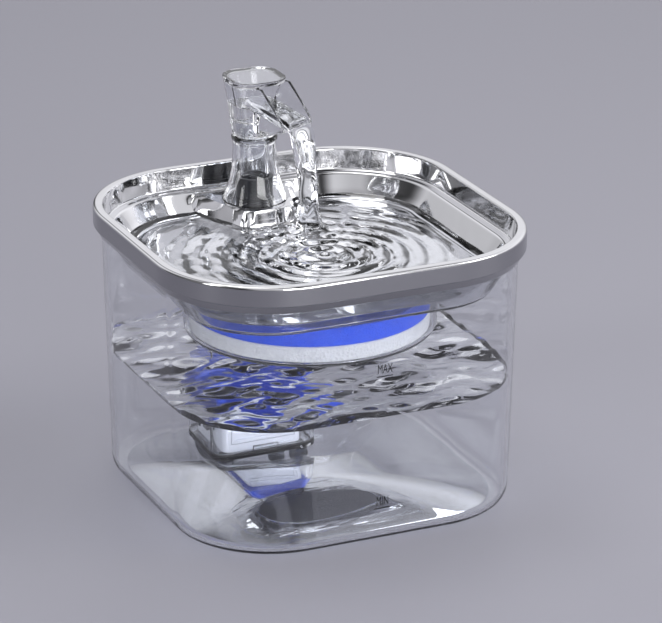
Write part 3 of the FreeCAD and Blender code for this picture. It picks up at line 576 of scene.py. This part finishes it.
# Pressed cotton is white, matt and slightly lumpy.
white_cotton = porous("white filter cotton", "#F2F2F2", 1.4, 0.5, 0.95, "#D9D9DC")
round_pad("foam_pad", "filter_foam", blue_foam, "blue_foam")
round_pad("cotton_pad", "filter_cotton", white_cotton, "white_cotton")


# Steel tray
# Pressed stainless sheet, mirror polished inside and satin on the rolled rim and skirt.
# It hangs over the basin's flange. A silicone ring holds the faucet in the drafted island at the back.
tray_low, tray_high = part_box("steel_tray")
tray_half = tray_high.x / MM
rim_top = tray_high.z / MM
tray_axis = 36.0
skirt_height = 14.3
crease_drop = 9.6
ledge_drop = 11.5
bowl_depth = 13.5
dish_depth = 2.0
sheet_thickness = 0.8
ledge_inset = 8.0
island_inset = 8.5
plateau_drop = 1.5
skirt_bottom = rim_top - skirt_height
crease = rim_top - crease_drop
ledge_top = rim_top - ledge_drop
bowl_floor = ledge_top - bowl_depth
plateau_top = ledge_top - plateau_drop


def tray_rings(inset, **steps):
    """Rings of the tray moved inwards by inset; near the middle the corner keeps a share of the width."""
    half = tray_half - np.asarray(inset, float)
    return square_ring(half, half, np.maximum(half - tray_axis, half * least_corner), **steps)


def island(x, y):
    """How far up the faucet's island stands at a place, from 0 at its foot to 1 on top: a smooth step of the
    distance inside a straight front and two sides that spread to the back."""
    side_spread = 17.0
    side_length = 44.0
    spread = math.atan2(side_spread, side_length)
    front_reach = 22.5
    side_start = 20.0
    side_half = 15.6
    soft = 1.6
    foot_width = 3.2
    front = y - (faucet_y - front_reach)
    side = (side_half + (y - faucet_y + side_start) * math.tan(spread) - np.abs(x)) * math.cos(spread)
    inside = -soft * np.logaddexp(-front / soft, -side / soft)
    value = np.clip(inside / foot_width, 0, 1)
    return value * value * (3 - 2 * value)


tray_path = rounded_path([(4.2, skirt_bottom + 0.9), (3.0, skirt_bottom), (0.5, crease - 0.4), (0.0, crease),
                          (0.0, rim_top), (5.0, rim_top), (6.0, ledge_top), (10.0, ledge_top),
                          (19.0, bowl_floor), (29.0, bowl_floor), (81.0, bowl_floor - dish_depth),
                          (90.0, bowl_floor - dish_depth)],
                         [0, 0.5, 0.5, 0.3, 1.7, 0.9, 1.2, 2.2, 5.0, 8.0, 8.0, 0])
length = np.concatenate([[0], np.cumsum(np.hypot(*np.diff(tray_path, axis=0).T))])
dense = np.union1d(length, np.linspace(0, length[-1], 110))
tray_inset = np.interp(dense, length, tray_path[:, 0])
tray_level = np.interp(dense, length, tray_path[:, 1])


def steel_height(inset, x, y):
    """Height of the steel inside the ledge, with the island where it stands above the bowl."""
    within = tray_inset >= ledge_inset
    z = np.interp(inset, tray_inset[within], tray_level[within])
    return z + np.maximum(plateau_top - z, 0) * island(x, y)


x, y = tray_rings(tray_inset, arc_steps=26, side_steps=28)
z = np.repeat(tray_level[:, None], x.shape[1], 1)
z = np.where(tray_inset[:, None] >= island_inset, steel_height(tray_inset[:, None], x, y), z)
steel_sheet = grid_mesh("pressed_tray", x, y, z, end_cap=True)
if steel_sheet.data.polygons[-1].normal.z < 0:
    steel_sheet.data.flip_normals()
thickness = steel_sheet.modifiers.new("sheet", "SOLIDIFY")
thickness.thickness = sheet_thickness * MM
thickness.offset = -1
# Mirror polish gives sharp reflections, which bend slightly with the pressed sheet, a wave every 26 mm.
waves_per_metre = 38.0
polished, tree, shader = material("mirror polished stainless", "#DCDCDE", Metallic=1.0, Roughness=0.06)
place = add(tree, "ShaderNodeTexCoord").outputs["Object"]
waves = add(tree, "ShaderNodeTexNoise", {"Vector": place, "Scale": waves_per_metre, "Detail": 2.0})
ripple = add(tree, "ShaderNodeBump", {"Height": waves.outputs["Fac"], "Strength": 0.05, "Distance": 0.004})
tree.links.new(ripple.outputs[0], shader.inputs["Normal"])
# The brushed rim and skirt are the same steel with a darker, blurred sheen.
satin = material("satin stainless", "#A2A2A6", Metallic=1.0, Roughness=0.2)[0]
steel_sheet.data.materials.append(polished)
steel_sheet.data.materials.append(satin)
centres = np.empty(len(steel_sheet.data.polygons) * 3)
steel_sheet.data.polygons.foreach_get("center", centres)
centres = centres.reshape(-1, 3) / MM
from_axis = np.hypot(*np.maximum(np.abs(centres[:, :2]) - tray_axis, 0).T)
satin_width = 3.4
satin_height = 12.9
outside = np.abs(centres[:, 2] - skirt_bottom) < satin_height
outside &= from_axis > tray_half - tray_axis - satin_width
steel_sheet.data.polygons.foreach_set("material_index", outside.astype(np.int32))
around = np.linspace(0, 2 * math.pi, 48, endpoint=False)[None, :]
faucet_hole = 8.5
drain_hole = 2.4
drain_pitch = 9.0
drain_count = 7
hole_reach = 4
drain_below = 6
drain_above = 2
holes = [(faucet_hole * np.cos(around), faucet_y + faucet_hole * np.sin(around),
          plateau_top - hole_reach, plateau_top + hole_reach)]
for k in range(drain_count):
    ring = drain_pitch if k else 0.0
    holes.append((ring * math.cos(math.pi * k / 3) + drain_hole * np.cos(around),
                  ring * math.sin(math.pi * k / 3) + drain_hole * np.sin(around),
                  bowl_floor - drain_below, bowl_floor + drain_above))
holed(steel_sheet, "tray_holes", holes)
placed(steel_sheet, None, "tray", "polished_stainless", "steel_tray")
moulded("tray_grommet", dark_silicone, "tray", "grey_silicone", 0.15)


# Faucet column
# Flared clear acrylic column round a clear stem, which stands in a dark silicone socket.
# A clear collar on top carries the head.
tube_of("clear_stem", "faucet_stem", 5.8, acrylic, "faucet", "clear_plastic", 0.5)
tube_of("dark_socket", "stem_sleeve", 7.5, dark_silicone, "faucet", "grey_silicone", 0.3)
moulded("faucet_collar", acrylic, "faucet", "clear_plastic", 0.1)
column_low, column_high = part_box("faucet_column")
foot_z = column_low.z / MM
column_height = column_high.z / MM - foot_z
foot_radius = column_high.x / MM
neck_radius = 11.0
neck_bore = 7.6
column_wall = 1.6
flare_power = 2.4
column_sides = 128
share = np.linspace(0, 1, 40)
flare = neck_radius + (foot_radius - neck_radius) * (1 - share) ** flare_power
outer = np.stack([flare, foot_z + column_height * share], -1)
inner = np.stack([flare - column_wall, foot_z + (column_height - column_wall) * share], -1)[::-1]
neck = [[neck_bore, foot_z + column_height], [neck_bore, foot_z + column_height - column_wall]]
profile = np.vstack([outer, neck, inner])
angle = np.linspace(0, 2 * math.pi, column_sides, endpoint=False)[None, :]
column = grid_mesh("clear_column", profile[:, :1] * np.cos(angle), faucet_y + profile[:, :1] * np.sin(angle),
                   np.repeat(profile[:, 1:], column_sides, 1), ring_closed=True)
column.data.set_sharp_from_angle(angle=math.radians(40))
placed(column, acrylic, "faucet", "clear_plastic", "faucet_column")


# Faucet head
# Clear acrylic hood and open chute in one thick moulding, which turns on the column's collar.
# Its solid is remeshed finely and rounded like a casting.
mesh = frame["nodes"]["faucet_head"].data.copy()
work = bmesh.new()
work.from_mesh(mesh)
bmesh.ops.remove_doubles(work, verts=work.verts, dist=2e-6)
work.to_mesh(mesh)
work.free()
hood = bpy.data.objects.new("clear_hood", mesh)
scene.collection.objects.link(hood)
casting = hood.modifiers.new("casting", "REMESH")
casting.mode = "VOXEL"
casting.voxel_size = 0.36 * MM
casting.use_smooth_shade = True
rounding = hood.modifiers.new("rounding", "SMOOTH")
rounding.factor = 0.5
rounding.iterations = 9
placed(hood, acrylic, "spout", "clear_plastic", "faucet_head")


# Water in the tank
# Contents and no part of the fountain: a slab of choppy clear water at the surface.
# A thin sheet on the floor, part mirror and part clear, paints in the reflection of the pump that the tank's
# floor shows under the water.
# Water is clear, bends what is behind it and flashes white at its crests.
water = clear("water", "#FBFCFE", 1.333, 0.0)
tank_water_level = 70.0
surface_depth = 3.2
chop = 0.8
gap = 0.25
floor_level = tank_bottom + tank_floor


def choppy(x, y):
    """Height of a choppy surface: a sum of sine waves in several directions with lengths of 7 to 60 mm."""
    z = 0
    for length, heading, tall, phase in ((60, 20, 1.2, 0.3), (41, 75, 0.9, 1.9), (29, -35, 0.7, 4.0),
                                         (22, 120, 0.5, 2.2), (17, 50, 0.36, 5.1), (13, -80, 0.3, 0.9),
                                         (9, 105, 0.16, 3.0), (7, 70, 0.11, 1.2)):
        way = math.radians(heading)
        bend = 3.0 * np.sin((x * math.sin(way) - y * math.cos(way)) / 19.0 + phase)
        along_way = x * math.cos(way) + y * math.sin(way) + bend
        z = z + chop * tall * np.sin(2 * math.pi * along_way / length + phase)
    return z


surface_rows = 190
surface_middle = 84.5
underside_step = 6
surface_inset = np.linspace(tank_wall + gap, surface_middle, surface_rows)
underside = np.stack([surface_inset[::-1], np.full(surface_rows, tank_water_level - surface_depth)], -1)
upper_side = np.stack([surface_inset, np.full(surface_rows, tank_water_level)], -1)
path = np.vstack([underside[::underside_step], upper_side])
x, y = tank_rings(path, arc_steps=40, side_steps=40)
z = np.repeat(path[:, 1:], x.shape[1], 1)
z = np.where(z > tank_water_level - 1, z + choppy(x, y), z)
tub_water = grid_mesh("water_in_tank", x, y, z, start_cap=True, end_cap=True)
tub_water.data.set_sharp_from_angle(angle=math.radians(50))
placed(tub_water, water, "tank", None)

# Painted reflection: this sheet is a stand-in and not water on the floor. It is 60 per cent plain metal
# mirror and the rest clear for all but shadow rays, and fully clear for shadow rays.
mirror = 0.6
film_depth = 0.1
film_margin = 6.4
film_inset = tank_wall + film_margin
painted_reflection_material, tree, shader = material("painted floor reflection", "#F4F6FA", Roughness=0.0, Metallic=1.0)
see_through = add(tree, "ShaderNodeBsdfTransparent")
path_kind = add(tree, "ShaderNodeLightPath")
to_camera = add(tree, "ShaderNodeMath", {0: 1.0, 1: path_kind.outputs["Is Shadow Ray"]}, operation="SUBTRACT")
mirror_share = add(tree, "ShaderNodeMath", {0: to_camera.outputs[0], 1: mirror}, operation="MULTIPLY")
blend = add(tree, "ShaderNodeMixShader", {0: mirror_share.outputs[0], 1: see_through.outputs[0],
                                         2: shader.outputs[0]})
tree.links.new(blend.outputs[0], tree.nodes["Material Output"].inputs["Surface"])
film_levels = np.array([[floor_level + gap], [floor_level + gap + film_depth]])
x, y = tank_rings(np.hstack([np.full((2, 1), film_inset), film_levels]))
film = grid_mesh("painted_floor_reflection_sheet", x, y, film_levels + 0 * x, start_cap=True, end_cap=True)
placed(film, painted_reflection_material, "tank", None)


# Water in the tray
# A pool that covers the dish, with rings spreading from where the stream falls and a fine chop over them.
# Where the steel stands above the water, as at the island, the pool has no faces.
pool_level = 122.4
film_gap = 0.12
fine_chop = 0.045
fine_scale = 1.3
fine_shift = 20
least_depth = 1e-4
pool_edge = 12.5
pool_middle = 92.5
pool_inset = np.linspace(pool_edge, pool_middle, 160)
x, y = tray_rings(pool_inset, arc_steps=28, side_steps=36)
steel_z = steel_height(pool_inset[:, None], x, y) + film_gap
rings = 0
for centre_x, centre_y, tall, length, decay in ((7.0, -5.0, 1.0, 9.5, 34.0), (15.0, 33.0, 0.9, 7.5, 18.0)):
    distance = np.hypot(x - centre_x, y - centre_y)
    rings = rings + tall * np.exp(-distance / decay) * np.cos(2 * math.pi * distance / length)
rings = rings + fine_chop * choppy(x * fine_scale + fine_shift, y * fine_scale)
pool_top = pool_level + rings
pool_bottom = np.minimum(steel_z, pool_top)
thin = pool_top - pool_bottom < least_depth
rows, columns = x.shape
number = np.arange(rows * columns).reshape(rows, columns)
right = np.roll(number, -1, 1)
quads = np.stack([number[:-1], right[:-1], right[1:], number[1:]], -1).reshape(-1, 4)
quads = quads[~thin.ravel()[quads].all(1)]
points = np.vstack([np.stack([x, y, level], -1).reshape(-1, 3) for level in (pool_top, pool_bottom)]) * MM
points = np.vstack([points, points[number[-1]].mean(0), points[number[-1] + rows * columns].mean(0)])
last = number[-1]
fan = np.stack([last, np.roll(last, -1), np.full(columns, 2 * rows * columns)], -1)
mesh = bpy.data.meshes.new("water_in_tray")
mesh.from_pydata(points.tolist(), [], quads.tolist() + (quads + rows * columns).tolist() + fan.tolist()
                 + (fan + [rows * columns, rows * columns, 1]).tolist())
work = bmesh.new()
work.from_mesh(mesh)
bmesh.ops.delete(work, geom=[v for v in work.verts if not v.link_faces], context="VERTS")
bmesh.ops.remove_doubles(work, verts=work.verts, dist=2e-6)
bmesh.ops.recalc_face_normals(work, faces=work.faces)
work.to_mesh(mesh)
work.free()
mesh.shade_smooth()
pool = bpy.data.objects.new("water_in_tray", mesh)
scene.collection.objects.link(pool)
placed(pool, water, "tray", None)


# Stream
# Water that runs down the chute as a flat sheet, tips over its lip and falls as a twisting rope.
# Rows give the middle's distance from the faucet's axis and height, and the section's two half sizes.
chute_turn = math.radians(24.0)
forward = np.array([-4.0, 0.0, 5.0, 11.0, 17.0, 23.0, 28.0, 30.6, 32.6, 34.4, 35.9, 37.0, 37.6])
centre_z = np.array([182.3, 182.4, 181.9, 180.9, 179.2, 177.6, 176.3, 174.9, 170.0, 161.0, 149.0, 134.0,
                     121.6])
half_width = np.array([3.0, 6.0, 8.0, 8.6, 8.6, 8.6, 8.6, 8.6, 8.4, 7.4, 6.2, 5.4, 6.4])
half_thick = np.array([0.6, 1.1, 1.3, 1.3, 1.25, 1.25, 1.25, 1.4, 2.4, 3.4, 3.8, 3.8, 5.0])
knots = np.concatenate([[0], np.cumsum(np.hypot(np.diff(forward), np.diff(centre_z)))])
along = np.linspace(0, knots[-1], 170)
softening = 9
fall_start = 52
fall_length = 50


def eased(values):
    """The values at the knots, followed along the stream and softened by a running mean."""
    line = np.interp(along, knots, values)
    longer = np.pad(line, softening // 2, mode="edge")
    return np.convolve(longer, np.ones(softening) / softening, "valid")[:, None]


ahead, height, wide, thick = (eased(values) for values in (forward, centre_z, half_width, half_thick))
along = along[:, None]
slope_ahead = np.gradient(ahead[:, 0])[:, None]
slope_height = np.gradient(height[:, 0])[:, None]
size = np.hypot(slope_ahead, slope_height)
angle = np.linspace(0, 2 * math.pi, 56, endpoint=False)[None, :]

# Where it falls, its section twists to and fro, is braided by three and five lobes, and swells along its way.
falling = np.clip((along - fall_start) / fall_length, 0, 1)
twist = falling * (0.5 * np.sin(along / 11.0) + 0.25)
braid = 1 + falling * (0.16 * np.sin(3 * angle + along / 5.0) + 0.1 * np.sin(5 * angle - along / 3.4))
swell = 1 + 0.10 * falling * np.sin(along / 4.1)
lateral = wide * np.cos(angle) * braid * swell
normal = thick * np.sin(angle) * braid
side = lateral * np.cos(twist) - normal * np.sin(twist)
out = lateral * np.sin(twist) + normal * np.cos(twist)
stream_ahead = ahead + out * (-slope_height / size)
stream_z = height + out * (slope_ahead / size)
x = stream_ahead * math.sin(chute_turn) + side * math.cos(chute_turn)
y = faucet_y - stream_ahead * math.cos(chute_turn) + side * math.sin(chute_turn)
stream = grid_mesh("water_stream", x, y, stream_z, start_cap=True, end_cap=True)
placed(stream, water, "spout", None)
